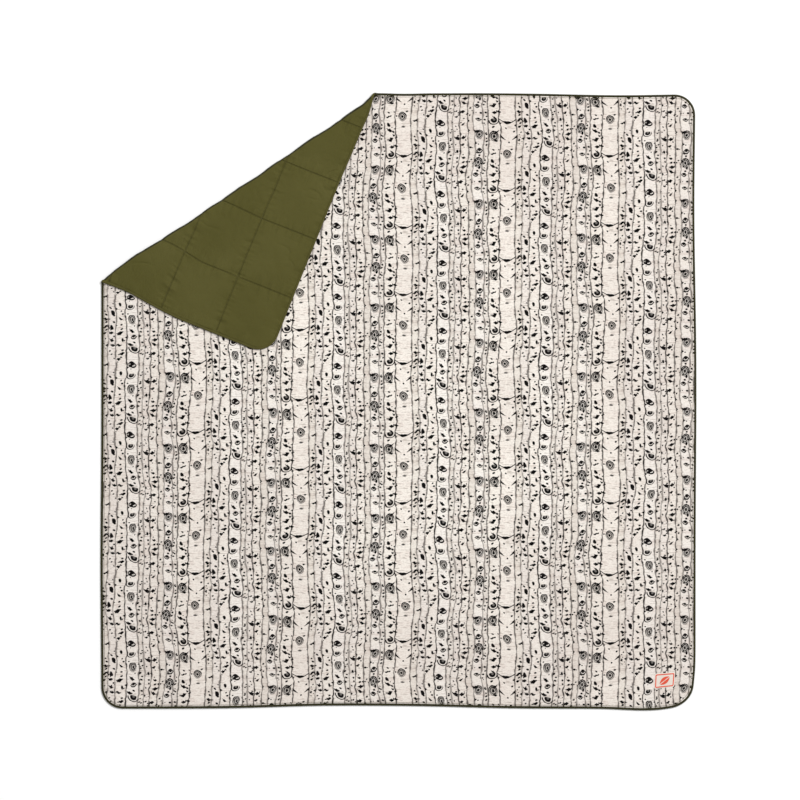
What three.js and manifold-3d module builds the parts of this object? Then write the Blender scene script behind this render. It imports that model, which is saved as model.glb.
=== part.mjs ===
// A quilted camp blanket lying flat, with one corner turned back over its printed face.
// Millimetres, +Z up. The origin is at the centre of the flat blanket, on the ground.
// The blanket is a stack of three layers: an olive backing quilted to a batting, and a
// printed face that is held only at its edges, where a folded binding wraps all three.
import * as THREE from "three";
import { mergeVertices } from "three/addons/utils/BufferGeometryUtils.js";
import Module from "manifold-3d";

const wasm = await Module();
wasm.setup();

// Driving dimensions.
const WIDTH = 2010; // along X
const LENGTH = 2080; // along Y
const THICKNESS = 10; // one layer of the blanket, lofted
const CORNER_RADIUS = 72;
const QUILT_PITCH = WIDTH / 10; // square quilting, counted from the left and top edges
const FOLD_ON_SIDE = 626; // from the turned corner down the left edge to the fold
const FOLD_ON_TOP = 926; // from the turned corner along the top edge to the fold
const BEND_INSET = 15.2; // the folded edge stops short of the outline at both ends
const GAP = 0.3; // between pieces that lie against each other
const FINEST_EDGE = 0.01; // shorter edges are merged away

// The layers, as heights in the flat stack.
const BACKING = { low: 0, high: 1.8 };
const BATTING = { low: 2.1, high: 8.4 };
const FACE = { low: 8.7, high: THICKNESS };

// The binding is a tape folded over the edges of all three layers.
const BINDING_WIDTH = 9;
const TAPE = 0.5; // thickness of one of its lips
const BINDING_WALL = 0.9; // and of its fold
const LAYER_INSET = BINDING_WALL + GAP; // edges of the layers, inside the binding
const PANEL_INSET = BINDING_WIDTH + GAP; // where the layers are at full height

// Threads, each lying in a shallow groove that its own tension presses in.
const THREAD = { width: 0.8, height: 0.3 };
const GROOVE_MARGIN = 0.5; // clear on each side of a thread
const BACKING_GROOVE = 1.35; // depth
const ROW_LEVEL = 0.2; // lowest point of a row's thread
const COLUMN_LEVEL = 0.8; // columns cross over the rows
const QUILT_INSET = 12; // quilting stops short of the binding's edge
const EDGE_STITCH_INSET = 11;
const EDGE_STITCH_GROOVE = 0.7;

const LABEL = { x: 903, y: -944, width: 70, length: 50, thickness: 0.8, radius: 3 };
const LABEL_STITCH_INSET = 2.5;
const LABEL_GROOVE = 0.5;

// The fold line runs from the left edge to the top edge. The hinge lies on the printed face.
const cornerX = -WIDTH / 2;
const cornerY = LENGTH / 2;
const foldStart = new THREE.Vector3(cornerX, cornerY - FOLD_ON_SIDE, 0);
const foldEnd = new THREE.Vector3(cornerX + FOLD_ON_TOP, cornerY, 0);
const foldLength = foldStart.distanceTo(foldEnd);
const foldAlong = foldEnd.clone().sub(foldStart).normalize();
const up = new THREE.Vector3(0, 0, 1);
const foldOut = up.clone().cross(foldAlong); // towards the turned corner
const foldHeight = THICKNESS + GAP / 2;

const cream = new THREE.Color(0.72, 0.66, 0.59);
const olive = new THREE.Color(0.1, 0.09, 0.028);
const darkOlive = new THREE.Color(0.05, 0.045, 0.014);
const white = new THREE.Color(0.85, 0.85, 0.83);
const cloth = (color, roughness) =>
  new THREE.MeshStandardMaterial({ color, roughness, metalness: 0 });
const finishes = {
  face: cloth(cream, 0.85),
  backing: cloth(olive, 0.7),
  batting: cloth(white, 1),
  binding: cloth(olive, 0.75),
  thread: cloth(darkOlive, 0.6),
  label: cloth(new THREE.Color(0.78, 0.72, 0.66), 0.7),
  labelThread: cloth(new THREE.Color(0.72, 0.13, 0.08), 0.5),
};

// Solids.
function solidOf(geometry) {
  const bare = geometry.clone();
  bare.deleteAttribute("normal");
  bare.deleteAttribute("uv");
  const merged = mergeVertices(bare, 1e-4);
  return new wasm.Manifold(
    new wasm.Mesh({
      numProp: 3,
      vertProperties: new Float32Array(merged.attributes.position.array),
      triVerts: new Uint32Array(merged.index.array),
    }),
  );
}

function geometryOf(solid) {
  const mesh = solid.simplify(FINEST_EDGE).getMesh();
  const geometry = new THREE.BufferGeometry();
  geometry.setAttribute(
    "position",
    new THREE.BufferAttribute(new Float32Array(mesh.vertProperties), 3),
  );
  geometry.setIndex(new THREE.BufferAttribute(new Uint32Array(mesh.triVerts), 1));
  const faceted = geometry.toNonIndexed();
  faceted.computeVertexNormals();
  return faceted;
}

function roundedRectangle(width, length, radius) {
  const x = width / 2 - radius;
  const y = length / 2 - radius;
  const shape = new THREE.Shape();
  shape.absarc(x, -y, radius, -Math.PI / 2, 0);
  shape.absarc(x, y, radius, 0, Math.PI / 2);
  shape.absarc(-x, y, radius, Math.PI / 2, Math.PI);
  shape.absarc(-x, -y, radius, Math.PI, 1.5 * Math.PI);
  return shape;
}

function prism(shape, low, high) {
  const geometry = new THREE.ExtrudeGeometry(shape, {
    depth: high - low,
    bevelEnabled: false,
    curveSegments: 10,
  });
  return solidOf(geometry.translate(0, 0, low));
}

// The blanket's outline drawn in by an inset, as a slab between two heights.
function slab(inset, low, high) {
  const shape = roundedRectangle(
    WIDTH - 2 * inset,
    LENGTH - 2 * inset,
    CORNER_RADIUS - inset,
  );
  return prism(shape, low, high);
}

function block(xLow, xHigh, yLow, yHigh, low, high) {
  const geometry = new THREE.BoxGeometry(xHigh - xLow, yHigh - yLow, high - low);
  geometry.translate((xLow + xHigh) / 2, (yLow + yHigh) / 2, (low + high) / 2);
  return solidOf(geometry);
}

function ring(inset, width, low, high) {
  return slab(inset, low, high).subtract(slab(inset + width, low - 1, high + 1));
}

// Everything on one side of the fold line: +1 is the turned corner's side, -1 the rest.
function sideOfFold(side, margin) {
  const reach = 2 * (WIDTH + LENGTH);
  const geometry = new THREE.BoxGeometry(reach, reach, 8 * THICKNESS);
  const middle = foldStart.clone().lerp(foldEnd, 0.5);
  middle.addScaledVector(foldOut, side * (reach / 2 + margin));
  const turned = new THREE.Matrix4().makeBasis(foldAlong, foldOut, up);
  return solidOf(geometry.applyMatrix4(turned.setPosition(middle)));
}

const mainSide = sideOfFold(-1, GAP);
const cornerSide = sideOfFold(1, GAP);

// The layers of the whole flat blanket, before it is divided at the fold.
const backingLip = slab(LAYER_INSET, TAPE + GAP, BACKING.high);
const backingCloth = slab(PANEL_INSET, BACKING.low, BACKING.high).add(backingLip);
const faceLip = slab(LAYER_INSET, FACE.low, THICKNESS - TAPE - GAP);
const faceCloth = slab(PANEL_INSET, FACE.low, FACE.high).add(faceLip);
const battingSheet = slab(LAYER_INSET, BATTING.low, BATTING.high);
const bindingTube = ring(0, BINDING_WIDTH, 0, THICKNESS).subtract(
  slab(BINDING_WALL, TAPE, THICKNESS - TAPE),
);

// Quilting: one thread for each row and each column.
const quiltArea = slab(QUILT_INSET, -1, THICKNESS + 1);
const rowCount = Math.floor((LENGTH - QUILT_INSET) / QUILT_PITCH);
const columnCount = Math.floor((WIDTH - QUILT_INSET) / QUILT_PITCH);

function rowBar(number, halfWidth, low, high) {
  const y = cornerY - number * QUILT_PITCH;
  return block(-WIDTH, WIDTH, y - halfWidth, y + halfWidth, low, high);
}

function columnBar(number, halfWidth, low, high) {
  const x = cornerX + number * QUILT_PITCH;
  return block(x - halfWidth, x + halfWidth, -LENGTH, LENGTH, low, high);
}

const grooveHalf = THREAD.width / 2 + GROOVE_MARGIN;
let quiltGrooves = null;
function addGroove(bar) {
  quiltGrooves = quiltGrooves ? quiltGrooves.add(bar) : bar;
}
for (let number = 1; number <= rowCount; number++) {
  addGroove(rowBar(number, grooveHalf, -1, BACKING_GROOVE));
}
for (let number = 1; number <= columnCount; number++) {
  addGroove(columnBar(number, grooveHalf, -1, BACKING_GROOVE));
}
const quiltedBacking = backingCloth.subtract(quiltGrooves.intersect(quiltArea));

// The binding's stitching shows beside its inner edge, on the printed face.
const edgeStitchLow = THICKNESS - EDGE_STITCH_GROOVE + GAP;
const edgeStitch = ring(
  EDGE_STITCH_INSET,
  THREAD.width,
  edgeStitchLow,
  edgeStitchLow + THREAD.height,
);
const edgeGroove = ring(
  EDGE_STITCH_INSET - GROOVE_MARGIN,
  THREAD.width + 2 * GROOVE_MARGIN,
  THICKNESS - EDGE_STITCH_GROOVE,
  THICKNESS + 1,
);
const stitchedFace = faceCloth.subtract(edgeGroove);

// The binding is applied in runs, each taking in the round corner at its end.
const nearLeft = cornerX + CORNER_RADIUS;
const nearRight = -nearLeft;
const nearTop = cornerY - CORNER_RADIUS;
const nearBottom = -nearTop;
const zone = (xLow, xHigh, yLow, yHigh) =>
  block(xLow, xHigh, yLow, yHigh, -1, THICKNESS + 1);
const leftZone = zone(-WIDTH, nearLeft - GAP, -LENGTH, LENGTH);
const bottomZone = zone(nearLeft, WIDTH, -LENGTH, nearBottom - GAP);
const rightZone = zone(nearRight, WIDTH, nearBottom, LENGTH);
const topZone = zone(nearLeft, nearRight - GAP, nearTop, LENGTH);

const blanket = new THREE.Group();
const cornerFlap = new THREE.Group(); // modelled flat, then turned over the fold line
const foldedEdge = new THREE.Group(); // its Z runs along the fold line

function piece(group, name, solid, finish) {
  const mesh = new THREE.Mesh(geometryOf(solid), finish);
  mesh.name = name;
  group.add(mesh);
}

// One half of the flat blanket: prefix names it, keep is its side of the fold.
function addLayers(group, prefix, keep) {
  const { face, backing, batting } = finishes;
  piece(group, prefix + "face_panel", stitchedFace.intersect(keep), face);
  piece(group, prefix + "batting_panel", battingSheet.intersect(keep), batting);
  piece(group, prefix + "backing_panel", quiltedBacking.intersect(keep), backing);
  piece(group, prefix + "binding_stitch", edgeStitch.intersect(keep), finishes.thread);
}

function addBinding(group, prefix, keep, zones) {
  for (const [side, where] of Object.entries(zones)) {
    const run = bindingTube.intersect(where).intersect(keep);
    piece(group, prefix + "binding_" + side, run, finishes.binding);
  }
}

function addQuilting(group, prefix, keep, rows, columns) {
  const area = quiltArea.intersect(keep);
  const half = THREAD.width / 2;
  const lines = [
    ["quilt_row_", rows, rowBar, ROW_LEVEL],
    ["quilt_column_", columns, columnBar, COLUMN_LEVEL],
  ];
  for (const [name, count, bar, level] of lines) {
    for (let number = 1; number <= count; number++) {
      const thread = bar(number, half, level, level + THREAD.height).intersect(area);
      const node = prefix + name + String(number).padStart(2, "0");
      piece(group, node, thread, finishes.thread);
    }
  }
}

addLayers(blanket, "", mainSide);
addBinding(blanket, "", mainSide, {
  left: leftZone,
  bottom: bottomZone,
  right: rightZone,
  top: topZone,
});
addQuilting(blanket, "", mainSide, rowCount, columnCount);

// The turned corner is crossed by these rows and columns of the quilting.
const foldMargin = 2 * QUILT_INSET;
const flapRows = Math.floor((FOLD_ON_SIDE - foldMargin) / QUILT_PITCH);
const flapColumns = Math.floor((FOLD_ON_TOP - foldMargin) / QUILT_PITCH);
const lastRowRoom = FOLD_ON_TOP * (1 - (flapRows * QUILT_PITCH) / FOLD_ON_SIDE);
const shownRows = lastRowRoom > 3 * foldMargin ? flapRows : flapRows - 1;
addLayers(cornerFlap, "flap_", cornerSide);
addBinding(cornerFlap, "flap_", cornerSide, { side: leftZone, top: topZone });
addQuilting(cornerFlap, "flap_", cornerSide, shownRows, flapColumns);

// Where the layers bend round the fold, each is a half ring about the hinge line.
function halfRing(inner, outer, start, end) {
  const shape = new THREE.Shape();
  shape.absarc(0, 0, outer, -Math.PI / 2, Math.PI / 2);
  shape.absarc(0, 0, inner, Math.PI / 2, -Math.PI / 2, true);
  return prism(shape, start, end);
}

const bendStart = BEND_INSET + BINDING_WIDTH;
const bendEnd = foldLength - bendStart;
const bend = (layer) =>
  halfRing(foldHeight - layer.high, foldHeight - layer.low, bendStart, bendEnd);
piece(foldedEdge, "face_bend", bend(FACE), finishes.face);
piece(foldedEdge, "batting_bend", bend(BATTING), finishes.batting);
piece(foldedEdge, "backing_bend", bend(BACKING), finishes.backing);
const bindingBend = (start) =>
  halfRing(TAPE, foldHeight, start, start + BINDING_WIDTH - GAP);
piece(foldedEdge, "binding_bend_side", bindingBend(BEND_INSET), finishes.binding);
piece(foldedEdge, "binding_bend_top", bindingBend(bendEnd + GAP), finishes.binding);

// A woven label is sewn on the printed face, near the corner opposite the fold.
function labelPlate(inset, low, high) {
  const shape = roundedRectangle(
    LABEL.width - 2 * inset,
    LABEL.length - 2 * inset,
    LABEL.radius,
  );
  return prism(shape, low, high);
}

function labelFrame(inset, width, low, high) {
  return labelPlate(inset, low, high).subtract(labelPlate(inset + width, low - 1, high + 1));
}

const label = new THREE.Group();
const labelGroove = labelFrame(
  LABEL_STITCH_INSET - GROOVE_MARGIN,
  THREAD.width + 2 * GROOVE_MARGIN,
  LABEL.thickness - LABEL_GROOVE,
  LABEL.thickness + 1,
);
const labelStitchLow = LABEL.thickness - THREAD.height;
piece(
  label,
  "woven_label",
  labelPlate(0, 0, LABEL.thickness).subtract(labelGroove),
  finishes.label,
);
piece(
  label,
  "label_stitch",
  labelFrame(LABEL_STITCH_INSET, THREAD.width, labelStitchLow, LABEL.thickness),
  finishes.labelThread,
);
label.position.set(LABEL.x, LABEL.y, THICKNESS + GAP);
blanket.add(label);

// Turn the corner over, half a turn about the hinge line.
const hinge = foldStart.clone().setZ(foldHeight);
cornerFlap.quaternion.setFromAxisAngle(foldAlong, Math.PI);
cornerFlap.position.copy(hinge).sub(hinge.clone().applyQuaternion(cornerFlap.quaternion));
const foldFrame = new THREE.Matrix4().makeBasis(foldOut, up, foldAlong);
foldedEdge.quaternion.setFromRotationMatrix(foldFrame);
foldedEdge.position.copy(hinge);

const campBlanket = new THREE.Group();
campBlanket.add(blanket, cornerFlap, foldedEdge);
export default campBlanket;
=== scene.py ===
"""A quilted camp blanket lying flat, one corner turned back to show its olive backing.

Every soft piece is first laid out flat: x and y are where a point is on the open blanket and
z is its height in the stack. The cloth is simulated there, then fold() turns the corner over.
All lengths are in metres.
"""

import math

import bmesh
import bpy
import mathutils
import numpy as np
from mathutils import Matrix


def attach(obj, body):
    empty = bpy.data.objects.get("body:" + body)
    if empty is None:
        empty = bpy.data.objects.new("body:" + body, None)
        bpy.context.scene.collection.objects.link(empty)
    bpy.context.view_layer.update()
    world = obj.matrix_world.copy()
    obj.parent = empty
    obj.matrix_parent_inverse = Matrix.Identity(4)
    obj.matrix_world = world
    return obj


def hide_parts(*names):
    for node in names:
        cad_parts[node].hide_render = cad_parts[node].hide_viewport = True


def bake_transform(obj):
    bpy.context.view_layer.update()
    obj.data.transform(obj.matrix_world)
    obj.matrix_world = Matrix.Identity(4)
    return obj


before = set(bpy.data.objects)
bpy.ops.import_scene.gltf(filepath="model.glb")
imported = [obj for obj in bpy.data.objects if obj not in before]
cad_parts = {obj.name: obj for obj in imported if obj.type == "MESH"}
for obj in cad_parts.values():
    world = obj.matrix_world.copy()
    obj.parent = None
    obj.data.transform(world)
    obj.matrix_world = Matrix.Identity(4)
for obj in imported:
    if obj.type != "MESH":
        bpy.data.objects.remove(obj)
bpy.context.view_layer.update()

# The blanket, as in the CAD model.
WIDTH = 2.01
LENGTH = 2.08
THICKNESS = 0.010
CORNER_RADIUS = 0.072
PITCH = WIDTH / 10  # of the square quilting, from the left and top edges
FOLD_ON_SIDE = 0.626
FOLD_ON_TOP = 0.926
HINGE_HEIGHT = THICKNESS + 0.00015

# The mesh, with its lines on the quilting.
CELLS_PER_SQUARE = 20
CELL = PITCH / CELLS_PER_SQUARE
BEND_STEPS = 10  # across the crease

# The stack: heights of the outer sides of the two fabrics, and how they close at the edge.
FABRIC = 0.0007  # the thickness of each
BATTING_GAP = 0.0004  # between the batting and each fabric
BATTING_PRESSED = 0.0028  # how much thinner it is at the crease
BATTING_PRESSED_REACH = 0.025
FACE_HEIGHT = 0.0090
FACE_WRINKLE = 0.0009
BACKING_WRINKLE = 0.0015
SEAM_HEIGHT = 0.0042  # the backing is drawn up into the batting along its quilting
PUFF = 0.0026  # how far it bulges between
EDGE_HALF = 0.0017  # half the thickness of the blanket's thin edge
EDGE_SLOPE = 0.024  # the width over which it thins
SHEET_INSET = 0.0035  # both fabrics end inside the binding

BINDING_HALF_WIDTH = 0.0045
BINDING_HALF_HEIGHT = 0.0038
BINDING_LOW = 0.0040  # its centre where it lies on the ground
BINDING_TURNED = 0.0060  # and where it lies on the printed face
BINDING_RISE_REACH = 0.080  # it goes from one height to the other over this width
THREAD_RADIUS = 0.00045
STITCH_INSET = 0.0115

# The crease: the arc that the cloth takes up, and how flat the roll is pressed.
BEND_RADIUS = 0.0032
BEND_LENGTH = math.pi * BEND_RADIUS
CREASE_REACH = 0.0050  # how far the roll stands out from the fold line

corner = np.array([-WIDTH / 2, LENGTH / 2])
fold_start = corner - [0, FOLD_ON_SIDE]
fold_end = corner + [FOLD_ON_TOP, 0]
fold_length = float(np.linalg.norm(fold_end - fold_start))
fold_along = (fold_end - fold_start) / fold_length
fold_out = np.array([-fold_along[1], fold_along[0]])  # towards the turned corner
turned_side = np.array([0, 1]) - 2 * fold_out[1] * fold_out  # where the left side points, turned


def smooth(x):
    """0 below 0, 1 above 1, and a smooth rise between."""
    x = np.clip(x, 0, 1)
    return x * x * (3 - 2 * x)


def bump(x, centre, spread):
    return np.exp(-(((x - centre) / spread) ** 2))


def edge_distance(x, y):
    """How far a point of the open blanket lies inside its outline."""
    over_x = np.abs(x) - (WIDTH / 2 - CORNER_RADIUS)
    over_y = np.abs(y) - (LENGTH / 2 - CORNER_RADIUS)
    outside = np.hypot(np.maximum(over_x, 0), np.maximum(over_y, 0))
    return CORNER_RADIUS - outside - np.minimum(np.maximum(over_x, over_y), 0)


def past_fold(x, y):
    return (x - fold_start[0]) * fold_out[0] + (y - fold_start[1]) * fold_out[1]


def edge_centre(x, y):
    """The middle height of the blanket's thin edge."""
    turned = smooth(past_fold(x, y) / BINDING_RISE_REACH + 0.5)
    return BINDING_LOW + (BINDING_TURNED - BINDING_LOW) * turned


# ---------------------------------------------------------------------------------------
# The camera looks straight down, from far enough away to see the blanket without
# perspective.

FRAME_WIDTH = 2.707  # metres across the picture
CAMERA_HEIGHT = 24.0
VIEW_CENTRE = (0.005, 0.004)

camera = bpy.data.cameras.new("camera")
camera.sensor_width = 36.0
camera.lens = camera.sensor_width * CAMERA_HEIGHT / FRAME_WIDTH
camera.clip_end = 100.0
camera_object = bpy.data.objects.new("camera", camera)
camera_object.location = (*VIEW_CENTRE, CAMERA_HEIGHT)
bpy.context.collection.objects.link(camera_object)
bpy.context.scene.camera = camera_object


# ---------------------------------------------------------------------------------------
# Shape.

# The laid-out blanket isn't quite true. Each bump is where along an edge, over what
# length, and how far the edge stands out.
EDGE_BUMPS = {
    "top": [(0.75, 0.22, -0.005), (0.25, 0.30, 0.002)],
    "bottom": [
        (-0.25, 0.25, -0.009),
        (0.08, 0.24, -0.007),
        (0.83, 0.10, 0.006),
        (0.98, 0.06, -0.010),
    ],
    "right": [(0.65, 0.30, -0.004), (0.05, 0.35, 0.003), (-1.0, 0.07, -0.008)],
    "left": [(-0.55, 0.30, 0.003)],
}
EDGE_BUMP_DEPTH = 0.16  # how far into the blanket the edge's shape is felt
FLAP_BULGE = 0.030  # of the turned corner's lower edge
FLAP_BULGE_START = 0.15  # past the fold
FLAP_BULGE_DEPTH = 0.4  # in from that edge
# The crease isn't straight: it is hollow between its ends, and wavers.
CREASE_HOLLOW = 0.008
HOLLOW_FROM_START = 0.4  # the share of the crease in which the hollow deepens
HOLLOW_TO_END = 0.06  # and the share in which it ends
CREASE_WAVE = 0.0018
CREASE_WAVE_LENGTHS = (0.031, 0.083)
WAVE_FROM_START = 0.1
CREASE_SHAPE_DEPTH = 0.12  # how far into the cloth the crease's shape is felt
TIP_DROP = 0.011  # the crease's left end is drawn down along the blanket's side
TIP_REACH = 0.034
TIP_REACH_ALONG = 0.130  # along the turned corner's lower edge


def edge_shift(places, where, inward):
    shift = sum(amount * bump(where, centre, spread) for centre, spread, amount in places)
    return shift * np.exp(-((inward / EDGE_BUMP_DEPTH) ** 2))


def loosen(x, y):
    """Moves points of the open blanket by its edges' shape and the turned corner's bulge."""
    left, right = x + WIDTH / 2, WIDTH / 2 - x
    bottom, top = y + LENGTH / 2, LENGTH / 2 - y
    turned = smooth(past_fold(x, y) / FLAP_BULGE_START)
    along_side = np.clip((y - fold_start[1]) / FOLD_ON_SIDE, 0, 1)
    bulge = FLAP_BULGE * turned * smooth(along_side * 2)
    new_x = x + edge_shift(EDGE_BUMPS["right"], y, right)
    new_x -= edge_shift(EDGE_BUMPS["left"], y, left) + bulge * np.exp(-((left / FLAP_BULGE_DEPTH) ** 2))
    new_y = y + edge_shift(EDGE_BUMPS["top"], x, top)
    new_y -= edge_shift(EDGE_BUMPS["bottom"], x, bottom)
    return new_x, new_y


def fold(points):
    """Turns the corner of the laid-out blanket over its crease."""
    x, y = loosen(points[:, 0], points[:, 1])
    height = points[:, 2]
    offset = np.stack([x, y], 1) - fold_start
    along = offset @ fold_along
    beyond = offset @ fold_out + BEND_LENGTH / 2
    radius = HINGE_HEIGHT - height
    angle = np.clip(beyond / BEND_RADIUS, 0, math.pi)
    pressed = CREASE_REACH + BEND_LENGTH / 2
    reach = radius / HINGE_HEIGHT * pressed * np.sin(angle)
    out = np.where(beyond > BEND_LENGTH, BEND_LENGTH - beyond, np.minimum(beyond, 0))
    out += reach - BEND_LENGTH / 2
    share = along / fold_length
    hollow = CREASE_HOLLOW * smooth(share / HOLLOW_FROM_START) * smooth((1 - share) / HOLLOW_TO_END)
    short_wave, long_wave = (np.sin(along / length) for length in CREASE_WAVE_LENGTHS)
    hollow += CREASE_WAVE * short_wave * long_wave * smooth(share / WAVE_FROM_START)
    out -= hollow * np.exp(-((out / CREASE_SHAPE_DEPTH) ** 2))
    folded = np.empty_like(points)
    folded[:, :2] = fold_start + np.outer(along, fold_along) + np.outer(out, fold_out)
    from_tip = folded[:, :2] - fold_start
    along_edge = from_tip @ turned_side / TIP_REACH_ALONG
    off_edge = (from_tip[:, 0] * turned_side[1] - from_tip[:, 1] * turned_side[0]) / TIP_REACH
    folded[:, 1] -= TIP_DROP * np.exp(-(along_edge**2) - off_edge**2)
    folded[:, 2] = HINGE_HEIGHT - radius * np.cos(angle)
    return folded


def round_corners(x, y, inset):
    """Takes a grid over a plain rectangle into the blanket's rounded outline."""
    radius = CORNER_RADIUS - inset
    straight_x = WIDTH / 2 - CORNER_RADIUS
    straight_y = LENGTH / 2 - CORNER_RADIUS
    p = np.maximum(np.abs(x) - straight_x, 0) / CORNER_RADIUS
    q = np.maximum(np.abs(y) - straight_y, 0) / CORNER_RADIUS
    round_x = straight_x + radius * p * np.sqrt(1 - q * q / 2)
    round_y = straight_y + radius * q * np.sqrt(1 - p * p / 2)
    new_x = np.where(p > 0, np.sign(x) * round_x, x)
    new_y = np.where(q > 0, np.sign(y) * round_y, y)
    return new_x, new_y


columns = np.linspace(-WIDTH / 2, WIDTH / 2, round(WIDTH / CELL) + 1)
rows = LENGTH / 2 - CELL * np.arange(math.ceil(LENGTH / CELL))
rows = np.append(rows, -LENGTH / 2)
grid_x, grid_y = np.meshgrid(columns, rows)
sheet_x, sheet_y = round_corners(grid_x, grid_y, SHEET_INSET)
from_edge = edge_distance(sheet_x, sheet_y)


def grid_quads(row_count, column_count):
    index = np.arange(row_count * column_count).reshape(row_count, column_count)
    a, b = index[:-1, :-1].ravel(), index[:-1, 1:].ravel()
    c, d = index[1:, 1:].ravel(), index[1:, :-1].ravel()
    return np.stack([d, c, b, a], 1)  # facing up


def over_grid(heights):
    return np.stack([sheet_x.ravel(), sheet_y.ravel(), heights.ravel()], 1)


def new_object(name, points, faces):
    mesh = bpy.data.meshes.new(name)
    mesh.from_pydata(points.tolist(), [], faces.tolist() if hasattr(faces, "tolist") else faces)
    mesh.update()
    made = bpy.data.objects.new(name, mesh)
    bpy.context.collection.objects.link(made)
    return made


def coordinates(mesh):
    flat = np.empty(len(mesh.vertices) * 3, np.float64)
    mesh.vertices.foreach_get("co", flat)
    return flat.reshape(-1, 3)


CLOTH_FRAMES = 14
CLOTH_UNEVENNESS = 0.00015  # of the sheet before it crumples


def crumpled_heights(pinned, slack, seed):
    """Heights of a sheet after a short cloth simulation. It is slack where it isn't pinned."""
    random = np.random.default_rng(seed)
    start = random.normal(0, CLOTH_UNEVENNESS, sheet_x.shape)
    start[pinned] = 0
    cloth = new_object("cloth", over_grid(start), grid_quads(*sheet_x.shape))
    group = cloth.vertex_groups.new(name="pinned")
    group.add(np.flatnonzero(pinned.ravel()).tolist(), 1.0, "REPLACE")
    modifier = cloth.modifiers.new("cloth", "CLOTH")
    settings = modifier.settings
    settings.quality = 6
    settings.mass = 0.1
    settings.tension_stiffness = 20
    settings.compression_stiffness = 20
    settings.shear_stiffness = 8
    settings.bending_stiffness = 0.6
    settings.vertex_group_mass = group.name
    settings.shrink_min = -slack
    settings.shrink_max = -slack
    settings.effector_weights.gravity = 0
    modifier.point_cache.frame_start = 1
    modifier.point_cache.frame_end = CLOTH_FRAMES
    for number in range(1, CLOTH_FRAMES + 1):
        bpy.context.scene.frame_set(number)
    graph = bpy.context.evaluated_depsgraph_get()
    heights = coordinates(cloth.evaluated_get(graph).data)[:, 2].reshape(sheet_x.shape)
    bpy.context.scene.frame_set(1)
    bpy.data.objects.remove(cloth)
    return heights


def softly_capped(heights):
    """Brings heights to a scale of -1 to 1, with few of them near either."""
    return np.tanh(heights / (2.2 * np.std(heights)))


# Where the backing is quilted, and where both fabrics are held.
row_number = np.round((LENGTH / 2 - grid_y) / CELL)
column_number = np.round((grid_x + WIDTH / 2) / CELL)
quilted = (row_number % CELLS_PER_SQUARE == 0) | (column_number % CELLS_PER_SQUARE == 0)
held = from_edge < 1.5 * CELL

backing_crumple = softly_capped(crumpled_heights(quilted | held, slack=0.010, seed=3))
face_crumple = softly_capped(crumpled_heights(held, slack=0.006, seed=8))

# Crowned squares, with the simulated creases on them. The lower a fullness is, the more of
# each square is at its full height.
CROWN_FULLNESS = 0.35
CRUMPLE_FULLNESS = 0.2
across = np.abs(np.sin(math.pi * (grid_x + WIDTH / 2) / PITCH))
down = np.abs(np.sin(math.pi * (LENGTH / 2 - grid_y) / PITCH))
crown = (across * down) ** CROWN_FULLNESS
crumple = backing_crumple * (across * down) ** CRUMPLE_FULLNESS
puffed = SEAM_HEIGHT - PUFF * crown + BACKING_WRINKLE * crumple
inner_share = smooth(from_edge / EDGE_SLOPE)
edge_middle = edge_centre(sheet_x, sheet_y)
edge_backing = edge_middle - EDGE_HALF
edge_face = edge_middle + EDGE_HALF
backing_outer = edge_backing + (puffed - edge_backing) * inner_share
face_full = FACE_HEIGHT + FACE_WRINKLE * face_crumple
face_outer = edge_face + (face_full - edge_face) * inner_share


def slice_at_crease(mesh):
    """Cuts the faces along lines that run with the crease, so that they can bend there."""
    work = bmesh.new()
    work.from_mesh(mesh)
    out_3d = np.array([*fold_out, 0])
    for step in range(-1, BEND_STEPS + 2):
        place = BEND_LENGTH * (step / BEND_STEPS - 0.5)
        origin = np.array([*fold_start, 0]) + out_3d * place
        near = []
        for face in work.faces:
            centre = face.calc_center_median()
            distance = (centre.x - origin[0]) * out_3d[0] + (centre.y - origin[1]) * out_3d[1]
            if abs(distance) < 2 * CELL:
                near.append(face)
        edges = {edge for face in near for edge in face.edges}
        verts = {vert for face in near for vert in face.verts}
        bmesh.ops.bisect_plane(
            work, geom=[*verts, *edges, *near], plane_co=origin, plane_no=out_3d, dist=1e-5
        )
    work.to_mesh(mesh)
    work.free()


def finish_piece(piece):
    """Keeps each point's place on the open blanket, then folds the piece."""
    mesh = piece.data
    flat = coordinates(mesh)
    place = mesh.attributes.new("flat", "FLOAT_VECTOR", "POINT")
    place.data.foreach_set("vector", flat.astype(np.float32).ravel())
    mesh.vertices.foreach_set("co", fold(flat).astype(np.float32).ravel())
    mesh.shade_smooth()
    mesh.update()


BAKE_MARGIN = 0.02  # metres round the open blanket
BAKE_SHOWN = (0.01, 0.93)  # where on the map the side that shows starts, and its size there
BAKE_HIDDEN = (0.95, 0.045)


def add_bake_map(piece, outward):
    """Gives the side that shows nearly the whole of a UV map meant for baking its material,
    and the hidden side a corner of it. outward is 1 where the upper side shows, or -1."""
    mesh = piece.data
    normals = np.empty(len(mesh.polygons) * 3, np.float64)
    mesh.polygons.foreach_get("normal", normals)
    sizes = np.empty(len(mesh.polygons), np.int64)
    mesh.polygons.foreach_get("loop_total", sizes)
    vertex = np.empty(len(mesh.loops), np.int64)
    mesh.loops.foreach_get("vertex_index", vertex)
    shows = np.repeat(normals[2::3] * outward > 0.5, sizes)
    place = coordinates(mesh)[vertex, :2] / (LENGTH + BAKE_MARGIN) + 0.5
    (shown_start, shown_size), (hidden_start, hidden_size) = BAKE_SHOWN, BAKE_HIDDEN
    shown, hidden = shown_start + place * shown_size, hidden_start + place * hidden_size
    place = np.where(shows[:, None], shown, hidden)
    mesh.uv_layers.new(name="OFBake").data.foreach_set("uv", place.astype(np.float32).ravel())


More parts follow.
